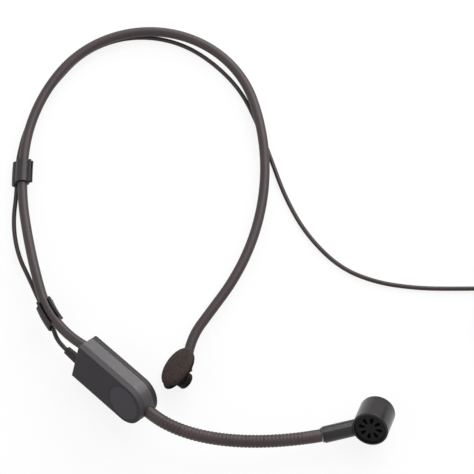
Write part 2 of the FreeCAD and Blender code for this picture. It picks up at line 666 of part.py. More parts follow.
def plug_nodes():
    """Connector along local Z, from its boot to its nose. Local X is up, where the latch is."""
    boot = cone(BOOT_TIP_R, BOOT_R, 0, BOOT_L - SEAM)
    cap = cone(PLUG_R - 0.6, PLUG_R, BOOT_L, BOOT_L + CAP_L - SEAM)
    body_z = BOOT_L + CAP_L
    nose_z = body_z + PLUG_BODY_L
    end_z = nose_z + NOSE_L
    shell = cylinder(PLUG_R, body_z, nose_z).fuse(cylinder(NOSE_R, nose_z, end_z)).removeSplitter()
    shell = shell.cut(cylinder(NOSE_R - PLUG_WALL, body_z + PLUG_WALL, end_z + 1))
    width, length, height = LATCH
    latch_z = nose_z - length - 1.5
    latch_x = PLUG_R + 0.5
    slot = box(0, PLUG_R + 1, -width / 2 - SEAM, width / 2 + SEAM, latch_z - SEAM,
               latch_z + length + SEAM)
    shell = shell.cut(slot)
    latch = box(latch_x - height, latch_x, -width / 2, width / 2, latch_z, latch_z + length)
    latch = latch.makeFillet(0.3, [e for e in latch.Edges if all(v.X > latch_x - 0.01 for v in e.Vertexes)])
    insert_r = NOSE_R - PLUG_WALL - SEAM
    insert = cylinder(insert_r, body_z + PLUG_WALL + SEAM, end_z - 1.0)
    room = box(latch_x - height - LATCH_TRAVEL - SEAM, PLUG_R, -width / 2 - 2 * SEAM,
               width / 2 + 2 * SEAM, latch_z - 2 * SEAM, latch_z + length + 2 * SEAM)
    insert = insert.cut(room)
    contacts = []
    for k in range(CONTACTS):
        angle = math.radians(45 + 360 * k / CONTACTS)
        at = (CONTACT_CIRCLE_R * math.cos(angle), CONTACT_CIRCLE_R * math.sin(angle))
        insert = insert.cut(cylinder(CONTACT_R + SEAM / 2, end_z - 8, end_z, at))
        pin = cylinder(CONTACT_R, end_z - 7.9, end_z - 1.4, at)
        contacts.append(pin.cut(cylinder(CONTACT_R / 2, end_z - 5, end_z, at)))
    shapes = {
        "plug_boot": boot, "plug_end_cap": cap, "plug_shell": shell, "plug_insert": insert,
        "plug_contacts": Part.makeCompound(contacts), "plug_latch": latch,
    }
    return {name: placed(shape, PLUG) for name, shape in shapes.items()}


# ---- assembly -------------------------------------------------------------------------------
LOOSE = ("cable_gland", "cable_lead", "cable_coil", "cable_tail", "coil_tie", "plug_boot",
         "plug_end_cap", "plug_shell", "plug_insert", "plug_contacts", "plug_latch")


def table_origin(nodes):
    """The point on the table under the middle of the headset without its loose cable."""
    total = FreeCAD.BoundBox()
    for name, shape in nodes.items():
        if name not in LOOSE:
            total.add(shape.optimalBoundingBox(False))
    return V(total.Center.x, total.Center.y, total.ZMin)


def report(label, point):
    print(label, [round(c, 3) for c in point])


def main():
    os.makedirs("parts", exist_ok=True)
    nodes = {}
    for part in (band_nodes, housing_nodes, boom_nodes, head_nodes, pad_nodes, cable_nodes, plug_nodes):
        nodes.update(part())
    nodes["clip_upper"] = clip_upper()
    nodes["clip_lower"] = clip_lower()
    origin = table_origin(nodes)
    report("origin", origin)
    for name, shape in nodes.items():
        moved = shape.copy()
        moved.translate(V(0, 0, 0) - origin)
        moved.exportStep("parts/%s.step" % name)
    print(len(nodes), "nodes")
    for label, place, cable in (("upper", UPPER_CLIP, UPPER_CABLE), ("lower", LOWER_CLIP, LOWER_CABLE)):
        at, row = clip_place(place)
        report("clip %s cable" % label, at.multVec(V(cable[0], cable[1], 0)))
        report("clip %s middle" % label, at.Base)
        report("clip %s along" % label, at.Rotation.multVec(V(0, 0, 1)))
        report("clip %s up" % label, at.Rotation.multVec(V(0, 1, 0)))
        report("clip %s arc centre" % label, row["centre"])
    report("rear", REAR)
    report("band end", BAND_END)
    report("band end tangent", BAND_END_TANGENT)
    for k, joint in enumerate(JOINTS):
        report("boom joint %d" % k, joint)
    report("pad ball", BALL_CENTRE)
    report("pad x", PAD.Rotation.multVec(V(1, 0, 0)))
    report("gland tip", HOUSING.multVec(V(-GLAND_L, GLAND_Y, GLAND_Z)))


if __name__ == "__main__":
    main()
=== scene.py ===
"""Looks of the headset microphone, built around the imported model. Metres, in the row frame."""
import math
import random

import bmesh
import bpy
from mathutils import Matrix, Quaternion, Vector


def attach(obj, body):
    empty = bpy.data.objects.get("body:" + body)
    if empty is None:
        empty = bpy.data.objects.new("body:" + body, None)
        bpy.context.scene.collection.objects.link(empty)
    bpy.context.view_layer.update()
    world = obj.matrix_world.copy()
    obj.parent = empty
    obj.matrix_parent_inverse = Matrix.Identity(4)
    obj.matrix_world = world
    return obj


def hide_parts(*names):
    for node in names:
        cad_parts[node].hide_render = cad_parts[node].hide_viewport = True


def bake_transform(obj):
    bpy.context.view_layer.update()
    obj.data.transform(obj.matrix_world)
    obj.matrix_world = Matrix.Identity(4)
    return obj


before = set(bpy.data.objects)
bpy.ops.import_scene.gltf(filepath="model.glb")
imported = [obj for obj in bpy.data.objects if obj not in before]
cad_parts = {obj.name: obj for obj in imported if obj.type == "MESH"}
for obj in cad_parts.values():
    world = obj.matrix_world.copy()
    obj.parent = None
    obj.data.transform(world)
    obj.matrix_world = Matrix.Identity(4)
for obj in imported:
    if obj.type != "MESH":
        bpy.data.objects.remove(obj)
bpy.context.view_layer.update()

MM = 0.001
ORIGIN = Vector((-19.467, 2.318, -0.013))     # the row frame's origin in the design's millimetres


def place(x, y, z):
    """A design point in millimetres, as a point of the row frame in metres."""
    return (Vector((x, y, z)) - ORIGIN) * MM


# ---- camera ---------------------------------------------------------------------------------
CAMERA_DISTANCE = 750.0         # from the design's origin
CAMERA_ELEVATION = math.radians(70)
CAMERA_LENS = 113.9
SENSOR_WIDTH = 36.0
CLIP_START = 0.01
camera_data = bpy.data.cameras.new("camera")
camera_data.lens = CAMERA_LENS
camera_data.sensor_width = SENSOR_WIDTH
camera_data.clip_start = CLIP_START
camera = bpy.data.objects.new("camera", camera_data)
camera.location = place(0, -CAMERA_DISTANCE * math.cos(CAMERA_ELEVATION),
                        CAMERA_DISTANCE * math.sin(CAMERA_ELEVATION))
camera.rotation_euler = (math.pi / 2 - CAMERA_ELEVATION, 0, 0)
bpy.context.scene.collection.objects.link(camera)
bpy.context.scene.camera = camera

# ---- cable ----------------------------------------------------------------------------------
CABLE_R = 1.1
GLAND_TIP = (-81.915, -60.491, 6.46)
CABLE_ROUTE = [
    (-86.6, -56.2, 5.5), (-88.9, -50.0, 9.5), (-96.1, -36.5, 7.7), (-101.4, -25.0, 5.6),
    (-108.6, -10.8, 3.6), (-112.0, 6.0, 2.8), (-110.9, 22.8, 3.1), (-111.3, 28.8, 2.7),
    (-111.3, 36.8, 2.5), (-111.0, 42.8, 2.4), (-108.9, 56.5, 1.2), (-103.6, 69.6, 1.1),
    (-94.6, 84.4, 1.1), (-81.2, 101.0, 1.1), (-63.5, 110.0, 1.1), (-44.5, 111.4, 1.1),
    (-26.5, 106.2, 1.1), (-10.5, 94.6, 1.1), (2.6, 79.4, 1.1), (11.0, 60.2, 1.1),
    (17.3, 41.6, 1.1), (24.5, 20.2, 1.1), (34.6, 0.9, 1.1), (50.2, -16.2, 1.1),
    (68.0, -24.2, 1.1), (88.0, -27.3, 1.1), (107.0, -27.7, 1.3),
]
COIL_CENTRE = (136.0, -42.4)
COIL_MID_R = 12.5
COIL_COLUMNS = 3
COIL_LAYERS = 4
COIL_LIFT = 0.7
POINTS_PER_TURN = 16
LANE_CHANGE = 0.25              # share of a turn over which it moves to the next lane
PLUG_START = (150.7, -64.0, 5.1)
TAIL_OUT = 8.2                  # along y, from the coil's centre to the tail's first point
TAIL_RUN = 4.5                  # straight run at each end of the tail
TAIL_DROP = 0.4
CURVE_STEPS = 10
CURVE_ROUNDNESS = 5
CURVE_ORDER = 3


def coil_points():
    """Turns laid side by side and layer on layer, clockwise from the side where the lead arrives."""
    turns = COIL_COLUMNS * COIL_LAYERS
    lanes = []
    for turn in range(turns + 1):
        layer, column = divmod(min(turn, turns - 1), COIL_COLUMNS)
        step = column if layer % 2 == 0 else COIL_COLUMNS - 1 - column
        lanes.append((COIL_MID_R + 2 * CABLE_R * ((COIL_COLUMNS - 1) / 2 - step),
                      COIL_LIFT + CABLE_R * (1 + 2 * layer)))
    points = []
    widen = 1 / math.cos(math.pi / POINTS_PER_TURN)
    last = turns * POINTS_PER_TURN + POINTS_PER_TURN // 4     # a quarter turn on, where the tail leaves
    for k in range(last):
        turn, into = divmod(k, POINTS_PER_TURN)
        part = max(0.0, into / POINTS_PER_TURN - (1 - LANE_CHANGE)) / LANE_CHANGE
        here, after = lanes[turn], lanes[min(turn + 1, turns)]
        radius = (here[0] + (after[0] - here[0]) * part) * widen
        height = here[1] + (after[1] - here[1]) * part
        angle = math.pi / 2 - 2 * math.pi * k / POINTS_PER_TURN
        points.append((COIL_CENTRE[0] + radius * math.cos(angle),
                       COIL_CENTRE[1] + radius * math.sin(angle), height))
    return points


def tail_points():
    """From the coil's outer lane on the top layer to the plug."""
    top = COIL_LIFT + CABLE_R * (2 * COIL_LAYERS - 1)
    x = COIL_CENTRE[0] + COIL_MID_R + CABLE_R * (COIL_COLUMNS - 1)
    y = COIL_CENTRE[1]
    return [(x, y - TAIL_OUT, top), (x, y - TAIL_OUT - TAIL_RUN, top - TAIL_DROP),
            (PLUG_START[0], PLUG_START[1] + TAIL_RUN, PLUG_START[2]), PLUG_START]


def nurbs(name, points, radius):
    """A round spline through design points, of one radius in metres."""
    curve = bpy.data.curves.new(name, "CURVE")
    curve.dimensions = "3D"
    curve.resolution_u = CURVE_STEPS
    curve.bevel_depth = 1.0      # times each point's radius
    curve.bevel_resolution = CURVE_ROUNDNESS
    curve.use_fill_caps = True
    spline = curve.splines.new("NURBS")
    spline.points.add(len(points) - 1)
    for target, p in zip(spline.points, points):
        target.co = (*place(*p), 1.0)
        target.radius = radius
    spline.order_u = CURVE_ORDER
    spline.use_endpoint_u = True
    piece = bpy.data.objects.new(name, curve)
    bpy.context.scene.collection.objects.link(piece)
    return piece


cable = nurbs("cable", [GLAND_TIP] + CABLE_ROUTE + coil_points() + tail_points(), CABLE_R * MM)
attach(cable, "frame")
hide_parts("cable_lead", "cable_coil", "cable_tail")


# ---- materials ------------------------------------------------------------------------------
BLOTCH_DETAIL = 4.0
GRAIN_DETAIL = 3.0
BLOTCH_RANGE = (0.3, 0.7)       # noise values at which the two colours are reached
ROUGH_SPREAD = 0.1
LEAST_ROUGH = 0.02
FACING_RANGE = (0.60, 0.95)     # cosine with the face's axis, from the painted side highlight to the face colour
WEAVE_STRENGTH = 0.6
WEAVE_DEPTH = 0.0002
WEAVE_COARSENESS = 6.28         # larger is a coarser weave


def add(tree, kind, **values):
    """A shader node with its inputs or settings given by name."""
    node = tree.nodes.new(kind)
    for key, value in values.items():
        if key in node.inputs:
            node.inputs[key].default_value = value
        else:
            setattr(node, key, value)
    return node


def surface(name, colour, rough, variation=0.25, variation_scale=60.0, grain=1500.0, bump=0.15,
            bump_distance=0.00004, metallic=0.0, coat=0.0, coat_rough=0.2, sheen=0.0, warm=None,
            specular=0.5):
    """A procedural surface: blotchy colour, uneven gloss and a fine grain in the bump."""
    material = bpy.data.materials.new(name)
    material.use_nodes = True
    tree = material.node_tree
    shader = tree.nodes["Principled BSDF"]
    shader.inputs["Metallic"].default_value = metallic
    shader.inputs["Coat Weight"].default_value = coat
    shader.inputs["Coat Roughness"].default_value = coat_rough
    shader.inputs["Sheen Weight"].default_value = sheen
    shader.inputs["Specular IOR Level"].default_value = specular
    coords = add(tree, "ShaderNodeTexCoord")
    broad = add(tree, "ShaderNodeTexNoise", Scale=variation_scale, Detail=BLOTCH_DETAIL)
    tree.links.new(coords.outputs["Object"], broad.inputs["Vector"])
    other = warm or tuple(c * (1 + variation) for c in colour)
    ramp = add(tree, "ShaderNodeValToRGB")
    low = tuple(c * (1 - variation) for c in colour)
    ramp.color_ramp.elements[0].position = BLOTCH_RANGE[0]
    ramp.color_ramp.elements[0].color = (*low, 1)
    ramp.color_ramp.elements[1].position = BLOTCH_RANGE[1]
    ramp.color_ramp.elements[1].color = (*other, 1)
    tree.links.new(broad.outputs["Fac"], ramp.inputs["Fac"])
    tree.links.new(ramp.outputs["Color"], shader.inputs["Base Color"])
    fine = add(tree, "ShaderNodeTexNoise", Scale=grain, Detail=GRAIN_DETAIL)
    tree.links.new(coords.outputs["Object"], fine.inputs["Vector"])
    gloss = add(tree, "ShaderNodeMapRange")
    gloss.inputs["To Min"].default_value = max(LEAST_ROUGH, rough - ROUGH_SPREAD)
    gloss.inputs["To Max"].default_value = min(1.0, rough + ROUGH_SPREAD)
    tree.links.new(fine.outputs["Fac"], gloss.inputs["Value"])
    tree.links.new(gloss.outputs["Result"], shader.inputs["Roughness"])
    relief = add(tree, "ShaderNodeBump", Strength=bump, Distance=bump_distance)
    tree.links.new(fine.outputs["Fac"], relief.inputs["Height"])
    tree.links.new(relief.outputs["Normal"], shader.inputs["Normal"])
    return material


def paint_side_highlight(material, face_axis, highlight_colour):
    """Faces that turn away from face_axis take a lighter colour: a painted highlight where the lamp falls
    on the sides.
    """
    tree = material.node_tree
    shader = tree.nodes["Principled BSDF"]
    face_colour = shader.inputs["Base Color"].links[0].from_socket
    coords = add(tree, "ShaderNodeTexCoord")
    turn = add(tree, "ShaderNodeVectorMath", operation="DOT_PRODUCT")
    turn.inputs[1].default_value = face_axis
    tree.links.new(coords.outputs["Normal"], turn.inputs[0])
    facing = add(tree, "ShaderNodeMath", operation="ABSOLUTE")
    tree.links.new(turn.outputs["Value"], facing.inputs[0])
    share = add(tree, "ShaderNodeMapRange")
    share.inputs["From Min"].default_value = FACING_RANGE[0]
    share.inputs["From Max"].default_value = FACING_RANGE[1]
    tree.links.new(facing.outputs["Value"], share.inputs["Value"])
    mix = add(tree, "ShaderNodeMix", data_type="RGBA")
    colours = [socket for socket in mix.inputs if socket.type == "RGBA"]
    colours[0].default_value = (*highlight_colour, 1)
    tree.links.new(share.outputs["Result"], mix.inputs["Factor"])
    tree.links.new(face_colour, colours[1])
    tree.links.new([o for o in mix.outputs if o.type == "RGBA"][0], shader.inputs["Base Color"])


def woven(name, colour, pitch, rough=0.85, sheen=0.3, specular=0.3):
    """A woven cloth: blotchy colour, with two crossed waves in the bump."""
    material = surface(name, colour, rough, sheen=sheen, specular=specular)
    tree = material.node_tree
    coords = add(tree, "ShaderNodeTexCoord")
    waves = []
    for direction in ("X", "Y"):
        wave = add(tree, "ShaderNodeTexWave", Scale=1 / pitch / WEAVE_COARSENESS, bands_direction=direction)
        tree.links.new(coords.outputs["Object"], wave.inputs["Vector"])
        waves.append(wave)
    cross = add(tree, "ShaderNodeMath", operation="MULTIPLY")
    tree.links.new(waves[0].outputs["Fac"], cross.inputs[0])
    tree.links.new(waves[1].outputs["Fac"], cross.inputs[1])
    relief = add(tree, "ShaderNodeBump", Strength=WEAVE_STRENGTH, Distance=WEAVE_DEPTH)
    tree.links.new(cross.outputs["Value"], relief.inputs["Height"])
    tree.links.new(relief.outputs["Normal"], tree.nodes["Principled BSDF"].inputs["Normal"])
    return material


SLEEVE = surface("sleeve", (0.030, 0.019, 0.021), 0.44, variation=0.16, variation_scale=45, grain=2600,
                 bump=0.20, specular=0.40, warm=(0.037, 0.023, 0.024))
CABLE = surface("cable_jacket", (0.024, 0.014, 0.012), 0.38, variation=0.15, grain=3000, bump=0.12,
                specular=0.35)
HOUSING = surface("housing_plastic", (0.015, 0.012, 0.017), 0.60, variation=0.12, grain=2400, bump=0.5,
                  bump_distance=0.00005, specular=0.30)
# housing body: a lighter copy of the housing plastic, a painted highlight where the lamp falls
HOUSING_PAINTED_LIT = surface("housing_body_painted_highlight", (0.042, 0.036, 0.040), 0.40, variation=0.16, grain=2400, bump=0.3,
                       specular=0.50, warm=(0.050, 0.040, 0.043))
# inner cover: a darker copy of the housing plastic, painted shade on the side turned from the lamp
HOUSING_PAINTED_SHADE = surface("housing_inner_painted_shade", (0.010, 0.008, 0.010), 0.45, variation=0.14, grain=2400, bump=0.3,
                       specular=0.30)
EMBLEM = surface("emblem_plate", (0.018, 0.014, 0.020), 0.50, variation=0.10, grain=2600, bump=0.2,
                 specular=0.33)
BOOM = surface("boom_skin", (0.036, 0.024, 0.023), 0.42, variation=0.15, grain=2200, bump=0.15,
               specular=0.34, warm=(0.050, 0.032, 0.030))
NECK = surface("neck_plastic", (0.006, 0.004, 0.006), 0.32, variation=0.15, grain=1800, bump=0.02,
               coat=0.35, coat_rough=0.12, specular=0.22)
HEAD = surface("head_paint", (0.006, 0.004, 0.006), 0.24, variation=0.15, variation_scale=90, grain=2600,
               bump=0.12, warm=(0.010, 0.007, 0.008), specular=0.36)
GRILLE = surface("grille_plastic", (0.004, 0.003, 0.004), 0.50, variation=0.2, grain=2600, bump=0.3,
                 specular=0.16)
CLOTH = woven("grille_cloth", (0.002, 0.001, 0.001), 0.0003, sheen=0.0, specular=0.05)
FOAM = surface("pad_foam", (0.038, 0.026, 0.023), 0.95, variation=0.22, variation_scale=700, grain=2200,
               bump=0.9, bump_distance=0.0002, specular=0.20, warm=(0.058, 0.042, 0.037))
PLATE = surface("pad_plastic", (0.008, 0.004, 0.004), 0.55, variation=0.15, grain=2200, bump=0.25,
                specular=0.12)
CLIP = surface("clip_plastic", (0.012, 0.008, 0.010), 0.42, variation=0.15, grain=2000, bump=0.12,
               specular=0.42)
RUBBER = surface("gland_rubber", (0.014, 0.009, 0.009), 0.60, variation=0.15, grain=2200, bump=0.3,
                 specular=0.35)
BLACK_METAL = surface("black_metal", (0.030, 0.030, 0.033), 0.30, variation=0.10, grain=2600, bump=0.15,
                      metallic=0.8)
STEEL = surface("steel", (0.55, 0.55, 0.56), 0.30, variation=0.08, grain=2400, bump=0.15, metallic=1.0)
BRASS = surface("brass", (0.62, 0.46, 0.20), 0.30, variation=0.12, grain=2000, bump=0.15, metallic=1.0)
GOLD = surface("gold", (0.80, 0.58, 0.24), 0.20, variation=0.08, grain=2000, bump=0.05, metallic=1.0)
COPPER = surface("copper", (0.62, 0.30, 0.16), 0.35, variation=0.12, grain=2000, bump=0.1, metallic=1.0)
BOARD = surface("board", (0.020, 0.120, 0.050), 0.35, variation=0.15, grain=1800, bump=0.1, coat=0.3)
RED = surface("lead_red", (0.35, 0.03, 0.02), 0.40, variation=0.12, grain=2000, bump=0.1)
NYLON = surface("nylon", (0.60, 0.58, 0.50), 0.45, variation=0.08, grain=1800, bump=0.1)
FILM = surface("film", (0.55, 0.52, 0.44), 0.25, variation=0.08, grain=1800, bump=0.05)
TIE = woven("tie_cloth", (0.020, 0.020, 0.021), 0.0005)

HOUSING_THROUGH = Vector((0.644, 0.596, -0.480)).normalized()
# the outer cover's sides take the body's lighter colour: a painted highlight where the lamp falls on them
paint_side_highlight(HOUSING, HOUSING_THROUGH, (0.042, 0.036, 0.040))

# the housing body takes the painted-highlight copy, the inner cover the painted-shade copy
NODE_LOOKS = {
    "band_wire": STEEL, "housing_outer": HOUSING, "housing_body": HOUSING_PAINTED_LIT,
    "housing_inner": HOUSING_PAINTED_SHADE, "emblem": EMBLEM, "cover_screws": BLACK_METAL,
    "terminal_board": BOARD, "solder_lugs": STEEL, "lead_wires": RED, "band_crimp": BRASS,
    "cable_gland": RUBBER, "boom_ferrule": BRASS, "boom": BOOM, "mic_neck": NECK, "mic_shell": HEAD,
    "mic_rear": HEAD, "mic_grille": GRILLE, "grille_cloth": CLOTH, "cartridge": STEEL,
    "shock_ring": RUBBER, "magnet": STEEL, "pole": STEEL, "voice_coil": COPPER, "diaphragm": FILM,
    "pad_plate": PLATE, "pad_hub": PLATE, "pad_socket": NYLON, "ball_stud": STEEL, "clip": CLIP,
    "plug_boot": RUBBER, "plug_end": BLACK_METAL, "plug_shell": BLACK_METAL, "plug_insert": GRILLE,
    "plug_contacts": GOLD, "plug_latch": STEEL,
}
for node_name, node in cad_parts.items():
    for prefix, look in NODE_LOOKS.items():
        if node_name.startswith(prefix):
            node.data.materials.clear()
            node.data.materials.append(look)
cable.data.materials.append(CABLE)


# ---- mesh helpers ---------------------------------------------------------------------------
def mesh_piece(name, vertices, faces, material, smooth=True):
    """A linked object with one material, from vertices in metres."""
    mesh = bpy.data.meshes.new(name)
    mesh.from_pydata([tuple(v) for v in vertices], [], faces)
    mesh.validate()
    for face in mesh.polygons:
        face.use_smooth = smooth
    mesh.materials.append(material)
    piece = bpy.data.objects.new(name, mesh)
    bpy.context.scene.collection.objects.link(piece)
    return piece


def swept(name, stations, material, sides=32):
    """A round closed skin through stations of (centre, tangent, radius in metres)."""
    vertices, faces = [], []
    side = stations[0][1].orthogonal().normalized()
    for centre, tangent, radius in stations:
        side = (side - tangent * side.dot(tangent)).normalized()
        up = tangent.cross(side)
        for k in range(sides):
            angle = 2 * math.pi * k / sides
            vertices.append(centre + (side * math.cos(angle) + up * math.sin(angle)) * radius)
    for ring in range(len(stations) - 1):
        for k in range(sides):
            a, b = ring * sides + k, ring * sides + (k + 1) % sides
            faces.append((a, b, b + sides, a + sides))
    faces.append(tuple(range(sides - 1, -1, -1)))
    faces.append(tuple(range((len(stations) - 1) * sides, len(stations) * sides)))
    return mesh_piece(name, vertices, faces, material)


# ---- band sleeve ----------------------------------------------------------------------------
SLEEVE_R = 2.45
BAND_START = (-23.9, -70.6, 5.2)
BAND_HEADING = math.radians(94.0)
SLEEVE_IN_HOUSING = 4.6
# roll of the bend plane, radius (0 = straight), then angle, or length if straight
RIGHT_BENDS = [(0, -37, 39.3), (0, 0, 16.4), (0, 118, 21.5), (0, 121, 32.0), (0, 56.4, 71.7)]
LEFT_BENDS = [(0, 56.4, 53.6), (0, 86.4, 31.5), (20.6, 127, 16.9), (-10.1, 350, 6.8), (0, 56, 37.6)]
BAND_STEP = 1.5


def follow(point, tangent, normal, table):
    """Stations along a bend table, in design millimetres."""
    stations = [(point, tangent)]
    for roll, radius, amount in table:
        normal = Quaternion(tangent, math.radians(roll)) @ normal
        if radius == 0:
            point = point + tangent * amount
            stations.append((point, tangent))
            continue
        centre = point + normal.cross(tangent) * radius
        angle = math.radians(math.copysign(amount, radius))
        count = math.ceil(abs(radius * angle) / BAND_STEP)
        spoke, heading = point - centre, tangent
        for k in range(1, count + 1):
            turn = Quaternion(normal, angle * k / count)
            point, tangent = centre + turn @ spoke, turn @ heading
            stations.append((point, tangent))
    return stations, normal


heading = Vector((math.cos(BAND_HEADING), math.sin(BAND_HEADING), 0))
right, band_up = follow(Vector(BAND_START), heading, Vector((0, 0, 1)), RIGHT_BENDS)
left, band_up = follow(*right[-1], band_up, LEFT_BENDS)
end_point, end_tangent = left[-1]
left.append((end_point + end_tangent * SLEEVE_IN_HOUSING, end_tangent))
band_stations = [(place(*p), t, SLEEVE_R * MM) for p, t in right + left[1:]]
sleeve = swept("band_sleeve", band_stations, SLEEVE)
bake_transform(sleeve)
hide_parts("band_sleeve_left", "band_sleeve_right")

# ---- boom skin ------------------------------------------------------------------------------
HOUSING_ORIGIN = Vector((-73.06, -64.51, 12.1))
HOUSING_ALONG = Vector((0.730, -0.666, 0.152)).normalized()
HOUSING_L = 43.6
LINKS = 10
LINK_R = 3.05
BOOM_BASE_OUT = 5.0
BOOM_BASE_IN = 5.6
BOOM_FLEX_L = 79.5
BOOM_HANDLES = (32.3, 32.3)
NECK_HEADING = Vector((0.956, 0.275, 0.100)).normalized()
NECK_TARGET = Vector((62.9, -97.6, 10.9))
RIDGE_PITCH = 1.8
RIDGE_H = 0.24
SAMPLES_PER_RIDGE = 8
RIDGE_SHARPNESS = 3
SMOOTH_START = 3.0
SMOOTH_END = 4.0
RIDGE_FADE = 8.0
BOOM_STEPS = 4000
BOOM_SIDES = 36
BOOM_ROOT = HOUSING_ORIGIN + HOUSING_ALONG * HOUSING_L


def boom_point(t):
    """The boom's centre line, a cubic Bezier curve from the housing to the neck's target."""
    b = BOOM_ROOT + HOUSING_ALONG * BOOM_HANDLES[0]
    c = NECK_TARGET - NECK_HEADING * BOOM_HANDLES[1]
    s = 1 - t
    return BOOM_ROOT * s ** 3 + b * (3 * s * s * t) + c * (3 * s * t * t) + NECK_TARGET * t ** 3


def boom_line():
    """Points along the boom with the distance travelled to each."""
    line, travelled, last = [(0.0, BOOM_ROOT)], 0.0, BOOM_ROOT
    for k in range(1, BOOM_STEPS + 1):
        here = boom_point(k / BOOM_STEPS)
        travelled += (here - last).length
        line.append((travelled, here))
        last = here
    return line


BOOM_LINE = boom_line()


def boom_at(distance):
    """Point and tangent at a distance along the boom."""
    low, high = 0, len(BOOM_LINE) - 1
    while high - low > 1:
        middle = (low + high) // 2
        if BOOM_LINE[middle][0] <= distance:
            low = middle
        else:
            high = middle
    (d0, a), (d1, b) = BOOM_LINE[low], BOOM_LINE[high]
    return a.lerp(b, (distance - d0) / (d1 - d0)), (b - a).normalized()


def ridge(distance):
    """Skin radius: fine rings that fade out at both ends."""
    from_end = min(distance - SMOOTH_START, BOOM_BASE_OUT + BOOM_FLEX_L - SMOOTH_END - distance)
    fade = max(0.0, min(1.0, from_end / RIDGE_FADE))
    wave = 0.5 - 0.5 * math.cos(2 * math.pi * distance / RIDGE_PITCH)
    return LINK_R - fade * RIDGE_H * wave ** RIDGE_SHARPNESS


def boom_stations(start, end):
    """Ridged stations from start to end; a negative start lies straight inside the housing."""
    count = max(2, math.ceil((end - start) / RIDGE_PITCH * SAMPLES_PER_RIDGE))
    stations = []
    if start < 0:
        inside = BOOM_ROOT + HOUSING_ALONG * start
        stations.append((place(*inside), HOUSING_ALONG, LINK_R * MM))
        start = 0.0
    for k in range(count + 1):
        distance = start + (end - start) * k / count
        point, tangent = boom_at(distance)
        stations.append((place(*point), tangent, ridge(distance) * MM))
    return stations


link_l = BOOM_FLEX_L / LINKS
for k in range(LINKS):
    middle = BOOM_BASE_OUT + link_l * k
    first = -BOOM_BASE_IN if k == 0 else middle - link_l / 2
    final = BOOM_BASE_OUT + BOOM_FLEX_L if k == LINKS - 1 else middle + link_l / 2
    skin = swept("boom_skin_%02d" % k, boom_stations(first, final), BOOM, sides=BOOM_SIDES)
    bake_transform(skin)
    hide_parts("boom_link_%02d" % (k + 1))
    if k == 0:
        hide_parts("boom_base")

# ---- emblem groove, as a dark ring of painted shade -----------------------------------------
HOUSING_H = 20.6
HOUSING_T = 12.5
OUTLINE_R = 9.5
OUTLINE_W = 0.28
OUTLINE_LIFT = 0.02
OUTLINE_SINK = 0.20
OUTLINE_SIDES = 128
OUTLINE_INSET = 0.6


def emblem_groove_shade():
    """A fine dark line round the blank emblem, sunk into the outer cover: painted shade standing in for the
    groove's shadow.
    """
    down = HOUSING_THROUGH.cross(HOUSING_ALONG)
    centre = HOUSING_ORIGIN + HOUSING_ALONG * (HOUSING_L - HOUSING_H / 2 - OUTLINE_INSET)
    section = [(-OUTLINE_W / 2, OUTLINE_SINK), (-OUTLINE_W / 2, 0), (0, -OUTLINE_LIFT),
               (OUTLINE_W / 2, 0), (OUTLINE_W / 2, OUTLINE_SINK)]
    vertices, faces = [], []
    for k in range(OUTLINE_SIDES):
        angle = 2 * math.pi * k / OUTLINE_SIDES
        out = HOUSING_ALONG * math.cos(angle) + down * math.sin(angle)
        for across, through in section:
            point = centre + out * (OUTLINE_R + across) + HOUSING_THROUGH * (through - HOUSING_T / 2)
            vertices.append(place(*point))
    count = len(section)
    for k in range(OUTLINE_SIDES):
        for i in range(count):
            a, b = k * count + i, k * count + (i + 1) % count
            after = (count * (k + 1)) % (count * OUTLINE_SIDES)
            faces.append((a, b, after + (i + 1) % count, after + i))
    return mesh_piece("emblem_groove_shade", vertices, faces, GRILLE, smooth=False)


# the emblem's groove, as a dark ring of painted shade
outline = emblem_groove_shade()
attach(outline, "frame")

# ---- temple pad -----------------------------------------------------------------------------
PAD_FACE = Vector((-29.3, -69.6, 11.9))
PAD_NORMAL = Vector((-0.690, 0.350, 0.630)).normalized()
PAD_RINGS = [(0.0, 0.30), (2.0, 0.29), (4.0, 0.25), (6.0, 0.18), (8.0, 0.06), (9.2, -0.10), (10.0, -0.38),
             (10.35, -0.80), (10.35, -1.30), (10.1, -1.70), (9.6, -1.90), (5.0, -1.90), (0.0, -1.90)]
PAD_SIDES = 96
PAD_WOBBLE = 0.02
PAD_SEED = 7


def turned_piece(name, profile, origin, axis, material, sides, wobble):
    """A solid of revolution from (radius, height) points, with an uneven radius."""
    generator = random.Random(PAD_SEED)
    side = axis.orthogonal().normalized()
    up = axis.cross(side)
    mesh = bmesh.new()
    rings = []
    for radius, height in profile:
        if radius == 0:
            rings.append([mesh.verts.new(place(*(origin + axis * height)))])
            continue
        ring = []
        for k in range(sides):
            angle = 2 * math.pi * k / sides
            out = radius + generator.uniform(-wobble, wobble)
            point = origin + axis * height + (side * math.cos(angle) + up * math.sin(angle)) * out
            ring.append(mesh.verts.new(place(*point)))
        rings.append(ring)
    for a, b in zip(rings, rings[1:]):
        for k in range(sides):
            corners = [a[k % len(a)], a[(k + 1) % len(a)], b[(k + 1) % len(b)], b[k % len(b)]]
            mesh.faces.new(list(dict.fromkeys(corners)))
    bmesh.ops.recalc_face_normals(mesh, faces=mesh.faces)
    data = bpy.data.meshes.new(name)
    mesh.to_mesh(data)
    mesh.free()
    for face in data.polygons:
        face.use_smooth = True
    data.materials.append(material)
    piece = bpy.data.objects.new(name, data)
    bpy.context.scene.collection.objects.link(piece)
    return piece


pad = turned_piece("temple_pad_foam", PAD_RINGS, PAD_FACE, PAD_NORMAL, FOAM, PAD_SIDES,
                   PAD_WOBBLE)
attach(pad, "temple_pad")
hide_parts("pad_foam")

# ---- coil tie -------------------------------------------------------------------------------
TIE_W = 6.0
TIE_T = 0.6
TIE_AT = math.radians(215)      # round the coil's centre
TIE_CORNER = 1.2
CORNER_STEPS = 6


